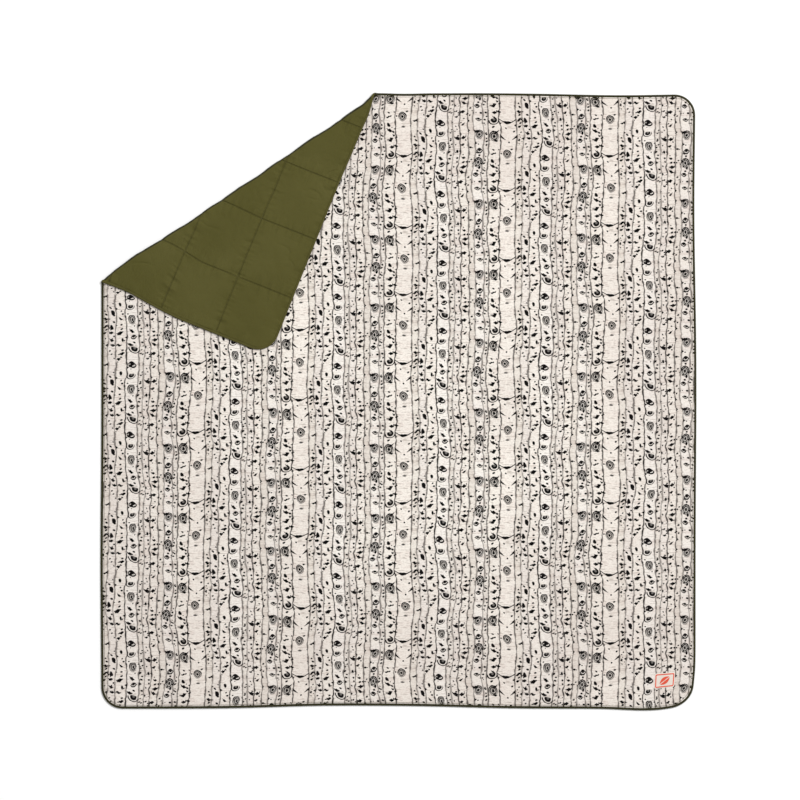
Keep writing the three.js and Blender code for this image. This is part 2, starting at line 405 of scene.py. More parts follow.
def closed_sheet(name, upper, lower):
    """A fabric between two surfaces over the grid, closed round its rim."""
    count = sheet_x.size
    quads = grid_quads(*sheet_x.shape)
    index = np.arange(count).reshape(sheet_x.shape)
    rim = np.concatenate([index[0, :-1], index[:-1, -1], index[-1, :0:-1], index[:0:-1, 0]])
    following = np.roll(rim, -1)
    walls = np.stack([rim, following, following + count, rim + count], 1)
    faces = np.concatenate([quads, quads[:, ::-1] + count, walls])
    points = np.concatenate([over_grid(upper), over_grid(lower)])
    piece = new_object(name, points, faces)
    slice_at_crease(piece.data)
    return piece


# ---------------------------------------------------------------------------------------
# Pieces.

face = closed_sheet("printed_face", face_outer, face_outer - FABRIC)
backing = closed_sheet("olive_backing", backing_outer + FABRIC, backing_outer)
# The batting is pressed thin where it is creased.
pressed_thin = BATTING_PRESSED * bump(past_fold(sheet_x, sheet_y), 0, BATTING_PRESSED_REACH)
batting_top = face_outer - FABRIC - BATTING_GAP - pressed_thin
batting_bottom = backing_outer + FABRIC + BATTING_GAP
batting = closed_sheet("batting", batting_top, batting_bottom)
add_bake_map(face, 1)
add_bake_map(backing, -1)


ROUND_CORNER_POINTS = 13


def rounded_rectangle(width, length, corner, steps):
    """The ends of a rectangle's straight sides, and points round its corners."""
    points = []
    for quarter, (sign_x, sign_y) in enumerate([(1, 1), (-1, 1), (-1, -1), (1, -1)]):
        centre = np.array([sign_x * (width / 2 - corner), sign_y * (length / 2 - corner)])
        for angle in np.linspace(0, math.pi / 2, steps) + quarter * math.pi / 2:
            points.append(centre + corner * np.array([math.cos(angle), math.sin(angle)]))
    return np.array(points)


def outline(inset):
    """The blanket's outline, or one inside it."""
    size = (WIDTH - 2 * inset, LENGTH - 2 * inset)
    return rounded_rectangle(*size, CORNER_RADIUS - inset, ROUND_CORNER_POINTS)


CREASE_POINTS = np.linspace(-0.6, 0.6, 17) * BEND_LENGTH  # across the bend and a little more


def refined(path, closed):
    """Adds points to a path: every cell, and many more through the crease."""
    ends = np.roll(path, -1, 0) if closed else path[1:]
    points = []
    for a, b in zip(path, ends):
        length = float(np.linalg.norm(b - a))
        steps = max(1, round(length / CELL))
        shares = set(np.arange(steps) / steps)
        beyond_a, beyond_b = (a - fold_start) @ fold_out, (b - fold_start) @ fold_out
        if beyond_a * beyond_b < 0 and abs(beyond_a - beyond_b) > 1e-6:
            for place in CREASE_POINTS:
                share = (place - beyond_a) / (beyond_b - beyond_a)
                if 0 < share < 1:
                    shares.add(share)
        points.extend(a + (b - a) * share for share in sorted(shares))
    if not closed:
        points.append(path[-1])
    return np.array(points)


def sweep(path, heights, half_width, half_height, sides, closed):
    """A round or oval bar along a path on the laid-out blanket."""
    before = np.roll(path, 1, 0) if closed else np.vstack([path[:1], path[:-1]])
    after = np.roll(path, -1, 0) if closed else np.vstack([path[1:], path[-1:]])
    direction = after - before
    direction /= np.linalg.norm(direction, axis=1)[:, None]
    side = np.stack([direction[:, 1], -direction[:, 0]], 1)
    rings = []
    for angle in np.linspace(0, 2 * math.pi, sides, endpoint=False):
        flat = path + side * (half_width * math.cos(angle))
        rings.append(np.column_stack([flat, heights + half_height * math.sin(angle)]))
    points = np.stack(rings, 1).reshape(-1, 3)
    count = len(path)
    faces = []
    for i in range(count if closed else count - 1):
        j = (i + 1) % count
        for k in range(sides):
            m = (k + 1) % sides
            faces.append([i * sides + k, j * sides + k, j * sides + m, i * sides + m])
    if not closed:
        faces.append(list(range(sides)))
        faces.append([(count - 1) * sides + k for k in range(sides)][::-1])
    return points, faces


def joined(name, parts):
    """One piece from several bars."""
    all_points, all_faces, start = [], [], 0
    for points, faces in parts:
        all_points.append(points)
        all_faces.extend([[index + start for index in face] for face in faces])
        start += len(points)
    return new_object(name, np.concatenate(all_points), all_faces)


def surface_at(surface, path):
    """Height of a gridded surface at points of the laid-out blanket."""
    column = np.clip((path[:, 0] + WIDTH / 2) / CELL, 0, surface.shape[1] - 1.001)
    row = np.clip((LENGTH / 2 - path[:, 1]) / CELL, 0, surface.shape[0] - 1.001)
    i, j = row.astype(int), column.astype(int)
    p, q = row - i, column - j
    upper = surface[i, j] * (1 - q) + surface[i, j + 1] * q
    lower = surface[i + 1, j] * (1 - q) + surface[i + 1, j + 1] * q
    return upper * (1 - p) + lower * p


binding_path = refined(outline(BINDING_HALF_WIDTH), True)
binding_heights = edge_centre(binding_path[:, 0], binding_path[:, 1])
binding_bar = sweep(
    binding_path, binding_heights, BINDING_HALF_WIDTH, BINDING_HALF_HEIGHT, sides=14, closed=True
)
binding = joined("edge_binding", [binding_bar])

stitch_path = refined(outline(STITCH_INSET), True)
stitch_heights = surface_at(face_outer, stitch_path)
stitch_bar = sweep(
    stitch_path, stitch_heights, THREAD_RADIUS, THREAD_RADIUS, sides=6, closed=True
)
binding_stitch = joined("binding_stitching", [stitch_bar])

QUILT_INSET = 0.012
QUILT_ROWS = 10
QUILT_COLUMNS = 9
quilt_lines = []
for number in range(1, QUILT_ROWS + 1):
    y = LENGTH / 2 - number * PITCH
    x = WIDTH / 2 - QUILT_INSET
    quilt_lines.append(np.array([[-x, y], [x, y]]))
for number in range(1, QUILT_COLUMNS + 1):
    x = -WIDTH / 2 + number * PITCH
    y = LENGTH / 2 - QUILT_INSET
    quilt_lines.append(np.array([[x, -y], [x, y]]))
quilt_parts = []
for line in quilt_lines:
    path = refined(line, False)
    heights = surface_at(backing_outer, path)
    bar = sweep(path, heights, THREAD_RADIUS, THREAD_RADIUS, sides=6, closed=False)
    quilt_parts.append(bar)
quilting = joined("quilting_thread", quilt_parts)

# ---------------------------------------------------------------------------------------
# The label: a woven patch with a plain leaf embroidered in a frame.

LABEL_CENTRE = (0.903, -0.944)
LABEL_SIZE = (0.070, 0.050)
LABEL_THICKNESS = 0.0005
LABEL_CORNER = 0.003
FRAME_INSET = 0.0045
FRAME_HALF_WIDTH = 0.0019
LEAF_LENGTH = 0.040
LEAF_WIDTH = 0.021
LEAF_LEAN = math.radians(35)
LEAF_GAP = 0.0012  # along its rib
EMBROIDERY = 0.0007  # its thickness
# A plate's dome: shares of its width, and its height there as a share of its thickness.
DOME = [(1.0, 0.3), (0.97, 0.8), (0.85, 1.0), (0.5, 1.1)]
DOME_TOP = 1.1


def resting(points):
    """Lays points whose z counts from the printed face on to it."""
    laid = points.copy()
    laid[:, 2] += surface_at(face_outer, points[:, :2])
    return laid


def half_leaf(side):
    """One side of the leaf, from its rib to its edge."""
    share = np.linspace(0, 1, 17)
    x = LEAF_LENGTH * (share - 0.5)
    edge = LEAF_WIDTH / 2 * np.sin(math.pi * share) ** 0.8 + LEAF_GAP
    rib = np.full_like(x[1:-1], LEAF_GAP)
    rim = np.concatenate([np.column_stack([x, edge]), np.column_stack([x[-2:0:-1], rib])])
    rim[:, 1] *= side
    if side > 0:
        rim = rim[::-1]
    cosine, sine = math.cos(LEAF_LEAN), math.sin(LEAF_LEAN)
    return rim @ np.array([[cosine, sine], [-sine, cosine]])


def domed_plate(rim, thickness):
    """A thin plate on the printed face, a little domed, with a flat underside."""
    middle = rim.mean(0)
    count = len(rim)
    levels = []
    for share, height in DOME:
        ring = middle + (rim - middle) * share
        levels.append(np.column_stack([ring + LABEL_CENTRE, np.full(count, height * thickness)]))
    top = np.array([[*(middle + LABEL_CENTRE), DOME_TOP * thickness]])
    under = np.column_stack([rim + LABEL_CENTRE, np.zeros(count)])
    faces = []
    for i in range(count):
        j = (i + 1) % count
        for level in range(len(levels) - 1):
            a, b = level * count, (level + 1) * count
            faces.append([a + i, a + j, b + j, b + i])
        last, top_point = (len(levels) - 1) * count, len(levels) * count
        base = top_point + 1
        faces.append([last + i, last + j, top_point])
        faces.append([base + i, base + j, j, i])
    faces.append([top_point + 1 + i for i in range(count)][::-1])
    return resting(np.concatenate([*levels, top, under])), faces


label_rim = rounded_rectangle(*LABEL_SIZE, LABEL_CORNER, 7)
label = joined("label_patch", [domed_plate(label_rim, LABEL_THICKNESS)])

frame_size = (LABEL_SIZE[0] - 2 * FRAME_INSET, LABEL_SIZE[1] - 2 * FRAME_INSET)
frame_path = rounded_rectangle(*frame_size, LABEL_CORNER, 7) + LABEL_CENTRE
frame_heights = surface_at(face_outer, frame_path) + LABEL_THICKNESS
embroidery_parts = [
    sweep(frame_path, frame_heights, FRAME_HALF_WIDTH, EMBROIDERY, sides=10, closed=True),
    domed_plate(half_leaf(1), LABEL_THICKNESS + EMBROIDERY),
    domed_plate(half_leaf(-1), LABEL_THICKNESS + EMBROIDERY),
]
embroidery = joined("label_embroidery", embroidery_parts)

# ---------------------------------------------------------------------------------------
# Materials. Each is written as formulas over the place on the open blanket.


class Field:
    """A number that varies over a surface, made of shader nodes."""

    def __init__(self, tree, socket):
        self.tree = tree
        self.socket = socket

    def plug(self, target):
        self.tree.links.new(self.socket, target)

    def math(self, operation, *others):
        node = self.tree.nodes.new("ShaderNodeMath")
        node.operation = operation
        for slot, value in zip(node.inputs, (self, *others)):
            put(value, slot)
        return Field(self.tree, node.outputs[0])

    def __add__(self, other):
        return self.math("ADD", other)

    def __sub__(self, other):
        return self.math("SUBTRACT", other)

    def __mul__(self, other):
        return self.math("MULTIPLY", other)

    def __truediv__(self, other):
        return self.math("DIVIDE", other)

    __radd__ = __add__
    __rmul__ = __mul__

    def __rsub__(self, other):
        return self * -1 + other

    def above(self, edge):
        return self.math("GREATER_THAN", edge)

    def ramp(self, low, high, to_low=0.0, to_high=1.0):
        """to_low where this is low, to_high where it is high, and smooth between."""
        node = self.tree.nodes.new("ShaderNodeMapRange")
        node.interpolation_type = "SMOOTHSTEP"
        for slot, value in zip(node.inputs, (self, low, high, to_low, to_high)):
            put(value, slot)
        return Field(self.tree, node.outputs[0])


def put(value, slot):
    """Feeds a slot from a field, a number or a colour, which is (red, green, blue)."""
    if isinstance(value, Field):
        value.plug(slot)
    elif isinstance(value, tuple):
        slot.default_value = (*value, 1)
    else:
        slot.default_value = value


class Surface:
    """A fabric material: its nodes, its place fields and its output."""

    def __init__(self, name):
        self.material = bpy.data.materials.new(name)
        self.material.use_nodes = True
        self.tree = self.material.node_tree
        self.shader = self.tree.nodes["Principled BSDF"]
        place = self.tree.nodes.new("ShaderNodeAttribute")
        place.attribute_name = "flat"
        split = self.tree.nodes.new("ShaderNodeSeparateXYZ")
        self.tree.links.new(place.outputs["Vector"], split.inputs[0])
        self.x = Field(self.tree, split.outputs[0])
        self.y = Field(self.tree, split.outputs[1])
        self.z = Field(self.tree, split.outputs[2])

    def vector(self, x, y, z=0.0):
        node = self.tree.nodes.new("ShaderNodeCombineXYZ")
        for slot, value in zip(node.inputs, (x, y, z)):
            put(value, slot)
        return Field(self.tree, node.outputs[0])

    def noise(self, x, y, z=0.0, detail=1.0):
        """Smooth noise about 0.5, whose features are about 1 across."""
        node = self.tree.nodes.new("ShaderNodeTexNoise")
        node.inputs["Scale"].default_value = 1.0
        node.inputs["Detail"].default_value = detail
        self.vector(x, y, z).plug(node.inputs["Vector"])
        return Field(self.tree, node.outputs["Fac"])

    def dice(self, x, y, z):
        """Three even random numbers for each set of whole numbers."""
        node = self.tree.nodes.new("ShaderNodeTexWhiteNoise")
        node.noise_dimensions = "3D"
        self.vector(x, y, z).plug(node.inputs["Vector"])
        split = self.tree.nodes.new("ShaderNodeSeparateColor")
        self.tree.links.new(node.outputs["Color"], split.inputs[0])
        return [Field(self.tree, output) for output in split.outputs]

    def mix(self, share, first, second):
        """Colours are (red, green, blue), or the output of another mix."""
        node = self.tree.nodes.new("ShaderNodeMix")
        node.data_type = "RGBA"
        put(share, node.inputs["Factor"])
        for slot, colour in (("A", first), ("B", second)):
            put(colour, [i for i in node.inputs if i.name == slot and i.type == "RGBA"][0])
        output = [o for o in node.outputs if o.type == "RGBA"][0]
        return Field(self.tree, output)

    def finish(
        self, colour, height, depth, roughness, sheen=0.0, sheen_tint=(1, 1, 1), gloss=0.15
    ):
        """height is a field of about 0 to 1, and depth what 1 stands for in metres."""
        shader = self.shader
        put(colour, shader.inputs["Base Color"])
        put(roughness, shader.inputs["Roughness"])
        shader.inputs["Specular IOR Level"].default_value = gloss
        shader.inputs["Sheen Weight"].default_value = sheen
        shader.inputs["Sheen Roughness"].default_value = 0.5
        put(sheen_tint, shader.inputs["Sheen Tint"])
        relief = self.tree.nodes.new("ShaderNodeBump")
        relief.inputs["Strength"].default_value = 1.0
        relief.inputs["Distance"].default_value = depth
        put(height, relief.inputs["Height"])
        self.tree.links.new(relief.outputs["Normal"], shader.inputs["Normal"])
        return self.material


def smallest(a, b):
    return a.math("MINIMUM", b)


def largest(first, *others):
    for other in others:
        first = first.math("MAXIMUM", other)
    return first


def weave(surface, pitch):
    """The relief of a plain weave: warp and weft pass over each other in turn."""
    warp = (surface.x * (math.pi / pitch)).math("SINE")
    weft = (surface.y * (math.pi / pitch)).math("SINE")
    return (warp * weft) * 0.5 + 0.5


def off_crease(surface):
    """How far past the fold line a place is, on the open blanket."""
    from_start = (surface.x - float(fold_start[0])) * float(fold_out[0])
    return from_start + (surface.y - float(fold_start[1])) * float(fold_out[1])


# The print: birch trunks side by side in a block that repeats down the cloth, and starts
# half a block lower in each next column of blocks.
BLOCK_WIDTH = 0.350
BLOCK_HEIGHT = 0.235
# Each trunk: its share of the width, how often large, middle and small marks are on it, how
# dark its ground is, and how dark the line at its left is.
TRUNKS = [
    (6.5, 0.0, 0.10, 0.45, 0.38, 0.80),
    (7.5, 0.0, 0.58, 0.40, 0.18, 0.55),
    (10.5, 0.0, 0.66, 0.35, 0.10, 0.75),
    (12.0, 1.0, 0.38, 0.25, 0.05, 1.00),
    (4.5, 0.0, 0.00, 0.55, 0.42, 0.75),
    (6.5, 0.0, 0.55, 0.50, 0.22, 0.55),
    (8.0, 0.0, 0.70, 0.35, 0.14, 0.90),
    (6.0, 0.0, 0.00, 0.15, 0.50, 0.80),
    (9.0, 1.0, 0.20, 0.20, 0.08, 0.60),
    (5.0, 0.0, 0.00, 0.55, 0.38, 0.65),
    (10.5, 0.3, 0.66, 0.35, 0.10, 0.85),
    (16.0, 0.0, 0.00, 0.10, 0.02, 0.95),
]
SHARES, LARGE_OFTEN, MIDDLE_OFTEN, SMALL_OFTEN, GROUND_DARK, LINE_DARK = zip(*TRUNKS)
WIDEST_TRUNK = 0.045  # only one trunk is wider than this
NOTCHES = 7  # the most on each side of a trunk, in a block
PRINT_PULL = 0.034  # the print is pulled out of true by less than half this
SIDE_WANDER = 0.019  # and the sides of its trunks wander by less than half this
CREAM = (0.955, 0.900, 0.820)
CREAM_WARM = (0.835, 0.730, 0.660)
CREAM_PALE = (0.995, 0.970, 0.925)
STRIP = (0.600, 0.530, 0.450)
BARK = (0.300, 0.240, 0.200)
DUSK = (0.520, 0.430, 0.390)
INK = (0.004, 0.0035, 0.0035)
LINE_INK = (0.018, 0.015, 0.014)
INK_WEIGHT = 1.15  # above 1, marks are solid nearly to their edges


class Trunks:
    """Where each place of the cloth is in the print's block, and on one of its trunks."""

    def __init__(self, cloth):
        self.cloth = cloth
        # The cloth is pulled a little out of true, and the trunks bend with it.
        pull_x = (cloth.noise(cloth.x * 2.6, cloth.y * 5.0, 11.0) - 0.5) * PRINT_PULL
        pull_y = (cloth.noise(cloth.x * 5.0, cloth.y * 2.6, 17.0) - 0.5) * PRINT_PULL
        across = (cloth.x + pull_x + WIDTH / 2) / BLOCK_WIDTH
        block = across.math("FLOOR")
        down = (LENGTH / 2 - cloth.y + pull_y) / BLOCK_HEIGHT + block * 0.5
        self.share = down.math("FRACT")
        turn = down * (2 * math.pi)
        self.round_x, self.round_y = turn.math("COSINE"), turn.math("SINE")
        in_block = across.math("FRACT")

        # The trunks' sides wander, except where one block meets the next.
        calm = smallest(in_block * 12, (1 - in_block) * 12).math("MINIMUM", 1.0)
        wander = cloth.noise(in_block * 9, self.round_x * 0.8, self.round_y * 0.8, 2.0) - 0.5
        self.place = in_block * BLOCK_WIDTH + wander * calm * SIDE_WANDER

        sides = np.cumsum([0, *SHARES]) / sum(SHARES) * BLOCK_WIDTH
        self.passed = [self.place.above(float(side)) for side in sides[1:-1]]
        self.trunk = sum(self.passed[1:], self.passed[0])
        self.width = self.each(np.diff(sides))
        inside = self.place - self.each(sides[:-1])
        self.off_centre = inside - self.width * 0.5
        self.to_side = smallest(inside, self.width - inside).math("ABSOLUTE")
        self.near_left = self.off_centre.above(0.0) * -1 + 1
        self.ragged = self.noise(170, 6) - 0.5

    def each(self, values):
        """A number that each trunk has its own value of."""
        field = self.passed[0] * float(values[1] - values[0]) + float(values[0])
        for step, (before, after) in zip(self.passed[1:], zip(values[1:], values[2:])):
            if before != after:
                field = field + step * float(after - before)
        return field

    def noise(self, fine_across, fine_down):
        """Noise that meets itself where the block repeats."""
        x, y = self.round_x * fine_down, self.round_y * fine_down
        return self.cloth.noise(self.place * fine_across, x, y, 2.0)

    def marks(self, seed, cells, reach_share, reach_most, presence, squash, tilt=0.8):
        """One mark, or none, in each of the cells that divide every trunk of a block: the
        place in units of its reach, whether it is there, and a random number for its kind."""
        step = self.share * cells
        cell = step.math("FLOOR")
        shift_x, shift_y, scale = self.cloth.dice(self.trunk + seed, cell, seed)
        chance, kind, lean = self.cloth.dice(self.trunk + seed + 40, cell, seed)
        reach = smallest(self.width * reach_share, reach_most) * (scale * 0.40 + 0.60)
        free = (self.width * 0.5 - reach).math("MAXIMUM", 0.0)
        x = self.off_centre - (shift_x - 0.5) * free * 1.8
        cell_height = BLOCK_HEIGHT / cells
        y = (step - cell - 0.5) * cell_height + (shift_y - 0.5) * cell_height * 0.35
        y = y + x * (lean - 0.5) * tilt
        here = chance.above(1 - presence)
        return x / reach, y / (reach * squash), here, kind

    def below(self, part):
        """How far a place lies below a share of the block's height."""
        return (self.share - part) * BLOCK_HEIGHT


def length(x, y):
    return (x * x + y * y).math("SQRT")


def ring(distance, radius, half_width):
    return (distance - radius).math("ABSOLUTE").ramp(half_width, half_width * 1.9, 1.0, 0.0)


def knot(distance, down):
    """A round knot: a dark middle, a ring round it and a rim that is fainter below."""
    rim = ring(distance, 0.98, 0.085) * down.ramp(-0.5, 0.4, 1.0, 0.55)
    filled = distance.ramp(0.85, 1.0, 0.34, 0.0)
    middle = distance.ramp(0.26, 0.44, 1.0, 0.0)
    return largest(middle, ring(distance, 0.66, 0.075), rim, filled)


def side_lines(trunks):
    """The line along each trunk's sides, which comes and goes, and the shade beside it."""
    round_x, round_y = trunks.round_x * 2.2, trunks.round_y * 2.2
    pressure = trunks.cloth.noise(trunks.trunk * 3.7, round_x, round_y, 2.0)
    line_width = pressure.ramp(0.30, 0.70, 0.0013, 0.0035)
    line = trunks.to_side.ramp(line_width * 0.5, line_width * 1.25, 1.0, 0.0)
    strength = trunks.each(LINE_DARK) * trunks.near_left
    strength = strength + trunks.each([*LINE_DARK[1:], LINE_DARK[0]]) * (1 - trunks.near_left)
    line = line * strength * pressure.ramp(0.25, 0.60, 0.80, 1.0)
    beside = trunks.to_side.ramp(0.001, 0.0075, 0.36, 0.0) * pressure.ramp(0.35, 0.65)
    return line, beside


def large_knots(trunks):
    """Each is an eye in rings, a cup with a dark rim or an almond with a heavy lid."""
    dx, dy, here, kind = trunks.marks(
        seed=3, cells=5, reach_share=0.46, reach_most=0.0175,
        presence=trunks.each(LARGE_OFTEN), squash=0.85, tilt=0.5,
    )
    eye = knot(length(dx, dy * 0.66) + trunks.ragged * 0.30, dy)
    distance = length(dx, dy) + trunks.ragged * 0.14
    body = distance.ramp(0.60, 0.76, 1.0, 0.0) * dy.ramp(-0.50, -0.30)
    cup = body * (distance + dy * 0.55).ramp(0.10, 0.50, 0.70, 1.0)
    wings = ring(distance, 1.02, 0.075) * dy.ramp(-0.25, 0.05)
    cup = largest(cup, wings)
    lens = dy.math("ABSOLUTE") * 1.15 + dx * dx + trunks.ragged * 0.2
    lid = lens.ramp(0.88, 1.02, 1.0, 0.0) * largest(lens.ramp(0.40, 0.55), dy.ramp(-0.05, -0.20))
    almond = largest(lid, lens.ramp(0.18, 0.30, 0.9, 0.0))
    eyes = kind.above(0.70)
    almonds = kind.above(0.38) - eyes
    cups = 1 - kind.above(0.38)
    return (eye * eyes + almond * almonds + cup * cups) * here


def twig_scars(trunks):
    """Scars where a twig was, with a wing to one side, and filled ovals."""
    dx, dy, here, kind = trunks.marks(
        seed=11, cells=10, reach_share=0.40, reach_most=0.0100,
        presence=trunks.each(MIDDLE_OFTEN), squash=0.86, tilt=1.1,
    )
    toward = kind.above(0.75) * 2 - 1
    tip = dx * toward
    scar = dy.math("ABSOLUTE") * 1.05 + tip.math("ABSOLUTE") * 0.85 + trunks.ragged * 0.40
    scar = scar.ramp(0.78, 0.94, 1.0, 0.0)
    wing = (dy + tip * 0.55).math("ABSOLUTE").ramp(0.14, 0.30, 0.9, 0.0) * tip.ramp(1.3, 1.0)
    wing = wing * tip.above(0.0)
    oval = (length(dx * 1.35, dy * 0.80) + trunks.ragged * 0.4).ramp(0.72, 0.95, 1.0, 0.0)
    ovals = kind.above(0.55) * (1 - kind.above(0.75)) + kind.ramp(0.0, 0.2, 1.0, 0.0).above(0.5)
    return (largest(scar, wing) * (1 - ovals) + oval * ovals) * here


def dots_and_specks(trunks):
    often = trunks.each(SMALL_OFTEN)
    dx, dy, here, _ = trunks.marks(
        seed=23, cells=19, reach_share=0.32, reach_most=0.0052, presence=often, squash=0.80
    )
    dots = length(dx, dy).ramp(0.65, 1.0, 1.0, 0.0) * here
    dx, dy, here, _ = trunks.marks(
        seed=37, cells=29, reach_share=0.28, reach_most=0.0036, presence=often * 0.55, squash=0.9
    )
    return dots, length(dx, dy).ramp(0.6, 1.0, 0.9, 0.0) * here


def notches(trunks):
    """Notches where a twig left the side of a trunk."""
    step = trunks.share * NOTCHES
    cell = step.math("FLOOR")
    shift, size, chance = trunks.cloth.dice(trunks.trunk + trunks.near_left * 18, cell, 71)
    y = ((step - cell - 0.5) - (shift - 0.5) * 0.5) * (BLOCK_HEIGHT / NOTCHES)
    reach = size * 0.0050 + 0.0038
    from_side = trunks.to_side * 0.8 + y.math("ABSOLUTE") * 1.2 + trunks.ragged * 0.002
    notch = from_side.ramp(reach * 0.7, reach, 1.0, 0.0)
    return notch * chance.above(trunks.width.ramp(0.016, 0.026, 0.90, 0.62))


def widest_trunk_marks(trunks):
    """An eye, a faint brow below it, a collar that sags to a thick scar, and two horns."""
    off_centre, to_side, ragged = trunks.off_centre, trunks.to_side, trunks.ragged
    eye_y = trunks.below(0.36) / 0.0145
    eye = knot(length(off_centre / 0.0125, eye_y) + ragged * 0.22, eye_y)
    brow = length((off_centre - 0.002) / 0.0085, trunks.below(0.50) / 0.0034) + ragged * 0.4
    brow = brow.ramp(0.6, 1.1, 0.80, 0.0)
    sag = trunks.below(0.90) + off_centre * off_centre * 16 + ragged * 0.003
    collar_width = off_centre.math("ABSOLUTE").ramp(0.003, 0.013, 0.0060, 0.0023)
    collar = sag.math("ABSOLUTE").ramp(collar_width * 0.6, collar_width, 1.0, 0.0)
    horn = (trunks.below(0.09) - to_side * 0.9 + ragged * 0.003).math("ABSOLUTE")
    horn_width = to_side.ramp(0.002, 0.016, 0.0052, 0.0012)
    horn = horn.ramp(horn_width * 0.6, horn_width, 1.0, 0.0) * to_side.ramp(0.014, 0.017, 1.0, 0.0)
    return largest(eye, brow, collar, horn) * trunks.width.above(WIDEST_TRUNK)


def bark_ground(trunks, beside):
    """The ground: bars of the bark run across, and each trunk has its own tone."""
    cloth = trunks.cloth
    bars = cloth.noise(trunks.place * 34 + trunks.trunk * 7.3, trunks.share * 58, 0.0, 2.0)
    _, warmth, paleness = cloth.dice(trunks.trunk + 5, 2.0, 0.0)
    patches = trunks.noise(28, 2.2)
    mottle = cloth.noise(cloth.x * 150, cloth.y * 230, 0.0, 2.0).ramp(0.38, 0.70, 0.0, 0.24)
    faded = cloth.noise(cloth.x * 2.2, cloth.y * 1.6, 8.0, 2.0).ramp(0.40, 0.62, 0.0, 0.14)
    colour = cloth.mix(warmth.ramp(0.55, 1.0, 0.0, 0.55), CREAM, CREAM_WARM)
    pale = paleness.ramp(0.3, 0.8, 0.0, 0.7) * patches.ramp(0.3, 0.6)
    colour = cloth.mix(pale, colour, CREAM_PALE)
    colour = cloth.mix(patches.ramp(0.45, 0.70, 0.0, 0.60), colour, CREAM_WARM)
    strip = trunks.each(GROUND_DARK) * patches.ramp(0.3, 0.65, 0.5, 1.0)
    colour = cloth.mix(strip, colour, STRIP)
    colour = cloth.mix(beside, colour, BARK)
    colour = cloth.mix(bars.ramp(0.56, 0.65) * 0.50, colour, BARK)
    colour = cloth.mix(mottle, colour, BARK)
    colour = cloth.mix(faded, colour, DUSK)
    # Painted shade: it is a little darker away from the middle, where the light falls off.
    painted_falloff_shade = length(cloth.x, cloth.y).ramp(0.35, 1.05, 0.0, 0.20)
    return cloth.mix(painted_falloff_shade, colour, DUSK)


def birch_print():
    cloth = Surface("birch_print")
    trunks = Trunks(cloth)
    line, beside = side_lines(trunks)
    colour = bark_ground(trunks, beside)
    colour = cloth.mix(line, colour, LINE_INK)
    dots, specks = dots_and_specks(trunks)
    ink = largest(
        large_knots(trunks), twig_scars(trunks), dots, specks,
        notches(trunks), widest_trunk_marks(trunks),
    )
    # The ink is rubbed off along the very crease.
    rubbed = off_crease(cloth).math("ABSOLUTE").ramp(0.0006, 0.0012)
    colour = cloth.mix(ink * rubbed * INK_WEIGHT, colour, INK)

    fine = weave(cloth, 0.0006)
    creases = cloth.noise(cloth.x * 9, cloth.y * 5, 0.0, 4.0)
    where = cloth.noise(cloth.x * 2, cloth.y * 2, 5.0, 1.0).ramp(0.45, 0.62)
    rumple = cloth.noise(cloth.x * 3, cloth.y * 14, 6.0, 2.0) * where
    height = fine * 0.05 + creases + rumple * 0.9
    return cloth.finish(colour, height, depth=0.0050, roughness=0.86, sheen=0.02, gloss=0.06)


OLIVE = (0.086, 0.078, 0.015)
OLIVE_LIGHT = (0.098, 0.089, 0.020)
OLIVE_DARK = (0.045, 0.040, 0.010)
# the olive in painted shade along the crease
OLIVE_PAINTED_SHADE = (0.012, 0.011, 0.003)
# the tape's olive darkened as painted shade, on its printed side
TAPE_IN_PAINTED_SHADE = (0.027, 0.025, 0.006)
TAPE_DARK = (0.010, 0.009, 0.003)
PUCKER_REACH = 0.045  # from a seam


def quilted_olive():
    cloth = Surface("olive_taffeta")
    from_column = ((cloth.x + WIDTH / 2) / PITCH + 0.5).math("FRACT") - 0.5
    from_row = ((LENGTH / 2 - cloth.y) / PITCH + 0.5).math("FRACT") - 0.5
    near_column = from_column.math("ABSOLUTE") * PITCH
    near_row = from_row.math("ABSOLUTE") * PITCH
    # Puckers run across a seam, and die away from it.
    pucker_row = cloth.noise(cloth.x * 42, cloth.y * 7, 3.0, 1.0)
    pucker_column = cloth.noise(cloth.x * 7, cloth.y * 42, 9.0, 1.0)
    row_share = near_row.ramp(0.0, PUCKER_REACH, 1.0, 0.0)
    column_share = near_column.ramp(0.0, PUCKER_REACH, 1.0, 0.0)
    pucker = (pucker_row - 0.5) * row_share + (pucker_column - 0.5) * column_share
    creases = cloth.noise(cloth.x * 6, cloth.y * 6, 1.0, 5.0)
    where = cloth.noise(cloth.x * 4, cloth.y * 4, 7.0, 1.0).ramp(0.48, 0.60)
    sharp = (cloth.noise(cloth.x * 8, cloth.y * 5, 2.0, 2.0) - 0.5).math("ABSOLUTE")
    sharp = sharp.ramp(0.0, 0.035, 0.0, 1.0) * where
    seam = smallest(near_column, near_row).ramp(0.0, 0.0050, 0.0, 1.0)
    fine = weave(cloth, 0.0004)
    tone = cloth.noise(cloth.x * 3, cloth.y * 3, 4.0, 3.0)
    colour = cloth.mix(tone.ramp(0.35, 0.65), OLIVE, OLIVE_LIGHT)
    # Painted shade: the olive is darker along the quilting seams, in their grooves.
    colour = cloth.mix(seam.ramp(0.0, 1.0, 0.20, 0.0), colour, OLIVE_DARK)
    colour = cloth.mix(fine.ramp(0.0, 1.0, 0.12, 0.0), colour, OLIVE_DARK)
    # Painted shade along the outside of the crease, where the fold's underside turns from the light.
    painted_crease_shade = off_crease(cloth).math("ABSOLUTE").ramp(0.0034, 0.0050, 0.88, 0.0)
    colour = cloth.mix(painted_crease_shade, colour, OLIVE_PAINTED_SHADE)
    height = pucker * 1.4 + creases * 1.2 + sharp * 0.16 + seam * 0.25 + fine * 0.03
    return cloth.finish(
        colour, height, depth=0.0125, roughness=0.50, sheen=0.06, sheen_tint=(0.75, 0.80, 0.45)
    )


